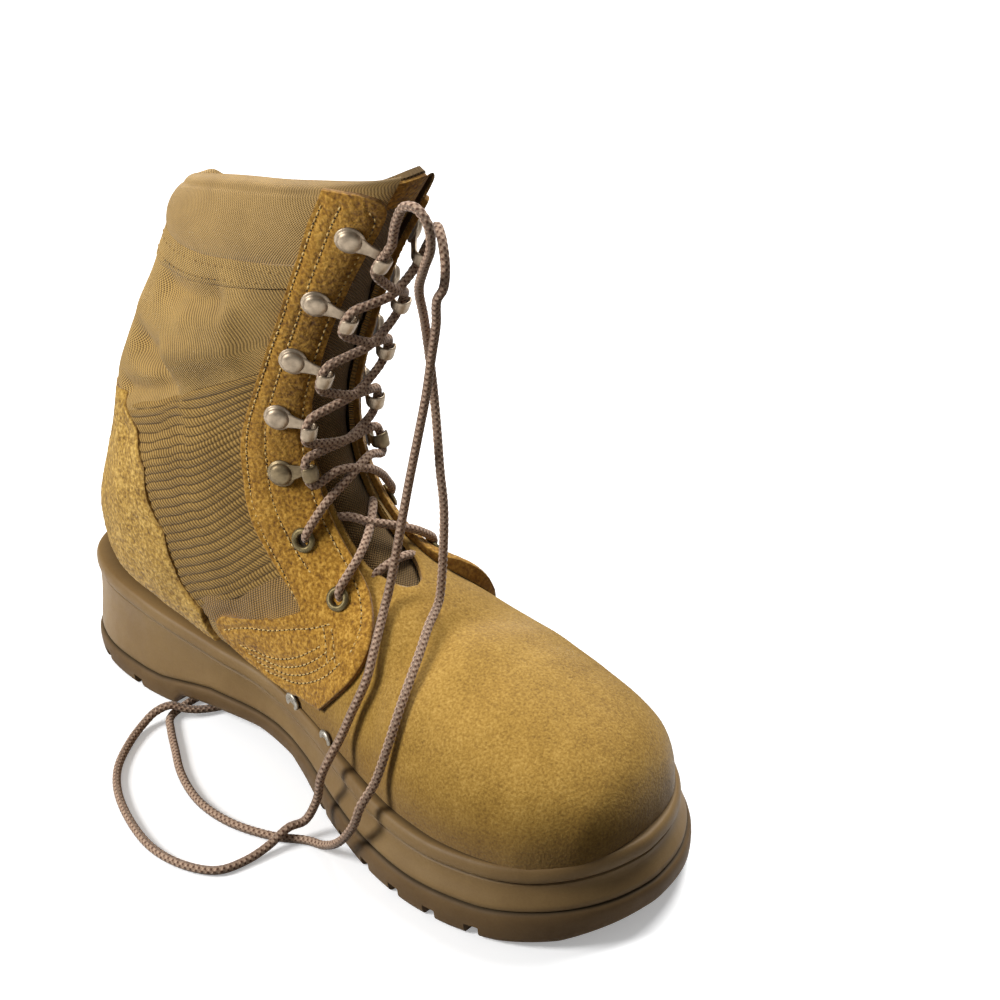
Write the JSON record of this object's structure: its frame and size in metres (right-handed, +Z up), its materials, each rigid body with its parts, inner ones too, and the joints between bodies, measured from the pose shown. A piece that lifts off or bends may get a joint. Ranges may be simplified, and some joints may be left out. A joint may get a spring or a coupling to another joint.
{
  "type": "combat boot",
  "caption": "Lace-up combat boot with a suede vamp, nylon shaft, padded collar, speed hooks and a lugged rubber sole; laced loosely, left foot.",
  "frame": {"origin": "on the floor, at the middle of the boot's length and width, free lace ends left out", "axes": "+X towards the toe, +Y towards the lateral (outer) side of this left boot, +Z up"},
  "size_m": [0.3176, 0.1684, 0.2536],
  "materials": {
    "sole": "moulded, matt",
    "insole": "cloth-faced foam",
    "suede": "rough-out suede, matt",
    "nylon": "woven nylon, matt",
    "lining": "knitted lining",
    "suede_overlay": "rough-out suede, matt",
    "hook_metal": "antique nickel over brass",
    "eyelet_metal": "brown antique finish",
    "vent_metal": "brushed nickel over brass",
    "lace": "round braid, matt",
    "aglet": "clear brown sheath"
  },
  "bodies": {
    "root": {"outsole": "sole", "midsole": "sole", "insole": "insole", "vamp": "suede", "shaft_lower": "nylon", "shaft_upper": "nylon", "collar_pad": "lining", "tongue": "nylon", "heel_counter": "suede_overlay", "quarter_medial": "suede_overlay", "hook_medial_1": "hook_metal", "hook_medial_2": "hook_metal", "hook_medial_3": "hook_metal", "hook_medial_4": "hook_metal", "hook_medial_5": "hook_metal", "eyelet_medial_1": "eyelet_metal", "eyelet_medial_2": "eyelet_metal", "quarter_lateral": "suede_overlay", "hook_lateral_1": "hook_metal", "hook_lateral_2": "hook_metal", "hook_lateral_3": "hook_metal", "hook_lateral_4": "hook_metal", "hook_lateral_5": "hook_metal", "eyelet_lateral_1": "eyelet_metal", "eyelet_lateral_2": "eyelet_metal", "vent_1": "vent_metal", "vent_2": "vent_metal", "lace_cross_hooks": "lace", "lace_cross_eyelets": "lace", "lace_bar": "lace", "lace_end_a": "lace", "lace_end_b": "lace", "aglet_a": "aglet", "aglet_b": "aglet"}
  },
  "joints": []
}
